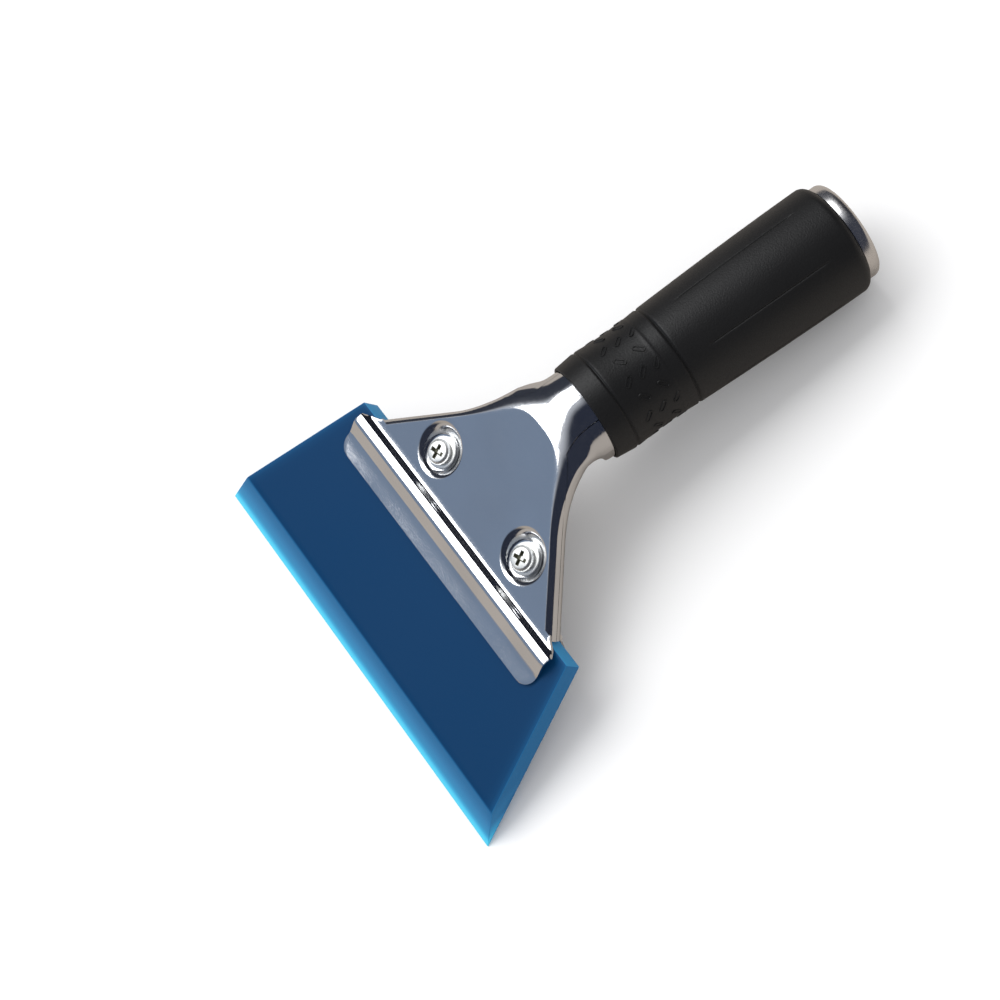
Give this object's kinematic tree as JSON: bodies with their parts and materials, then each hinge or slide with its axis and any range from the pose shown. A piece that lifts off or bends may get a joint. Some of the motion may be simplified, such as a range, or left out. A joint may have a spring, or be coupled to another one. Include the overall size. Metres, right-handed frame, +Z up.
{
  "type": "squeegee applicator",
  "caption": "Hand squeegee applicator for films: soft bevelled blade clamped by two screws in a steel fan head, with a rubber grip on an angled tube handle.",
  "frame": {"origin": "centre of the bounding box's bottom, on the floor under the tool as it lies screw side up", "axes": "+X along the blade, +Y from the working edge to the handle's end, +Z up; the working edge and the grip's rear end rest on Z = 0"},
  "size_m": [0.1316, 0.18, 0.0433],
  "materials": {
    "blade_urethane": "smooth cast polyurethane, translucent at the bevel",
    "polished_steel": "mirror-polished stainless sheet",
    "tube_steel": "drawn stainless tube, dull inside",
    "grip_rubber": "satin black moulded rubber",
    "plated_fasteners": "bright nickel plate"
  },
  "bodies": {
    "handle": {"back_shell": "polished_steel", "handle_tube": "tube_steel", "rubber_grip": "grip_rubber", "end_ring": "polished_steel", "left_nut": "plated_fasteners", "right_nut": "plated_fasteners"},
    "front_jaw": {"front_shell": "polished_steel"},
    "blade": {"blade": "blade_urethane"},
    "left_washer": {"left_washer": "plated_fasteners"},
    "left_screw": {"left_screw": "plated_fasteners"},
    "right_washer": {"right_washer": "plated_fasteners"},
    "right_screw": {"right_screw": "plated_fasteners"}
  },
  "joints": [
    {"name": "jaw_open", "type": "hinge", "parent": "handle", "child": "front_jaw", "pos_m": [0, 0.00873, 0.0281], "axis": [-1, 0, 0], "range_deg": [0, 2]},
    {"name": "blade_slide", "type": "slide", "parent": "handle", "child": "blade", "axis": [1, 0, 0], "range_m": [-0.085, 0.085]},
    {"name": "left_washer_lift", "type": "slide", "parent": "handle", "child": "left_washer", "axis": [0, -0.3172, 0.9484], "range_m": [0, 0.0016]},
    {"name": "left_screw_turn", "type": "hinge", "parent": "left_washer", "child": "left_screw", "pos_m": [-0.02, -0.03388, 0.02575], "axis": [0, -0.3172, 0.9484], "range_deg": [0, 820]},
    {"name": "right_washer_lift", "type": "slide", "parent": "handle", "child": "right_washer", "axis": [0, -0.3172, 0.9484], "range_m": [0, 0.0016]},
    {"name": "right_screw_turn", "type": "hinge", "parent": "right_washer", "child": "right_screw", "pos_m": [0.02, -0.03388, 0.02575], "axis": [0, -0.3172, 0.9484], "range_deg": [0, 820]}
  ],
  "couplings": [
    {"joint": "left_washer_lift", "follows": "jaw_open", "m_per_rad": 0.045661},
    {"joint": "left_screw_turn", "follows": "jaw_open", "ratio": 409.86},
    {"joint": "right_washer_lift", "follows": "jaw_open", "m_per_rad": 0.045661},
    {"joint": "right_screw_turn", "follows": "jaw_open", "ratio": 409.86}
  ]
}
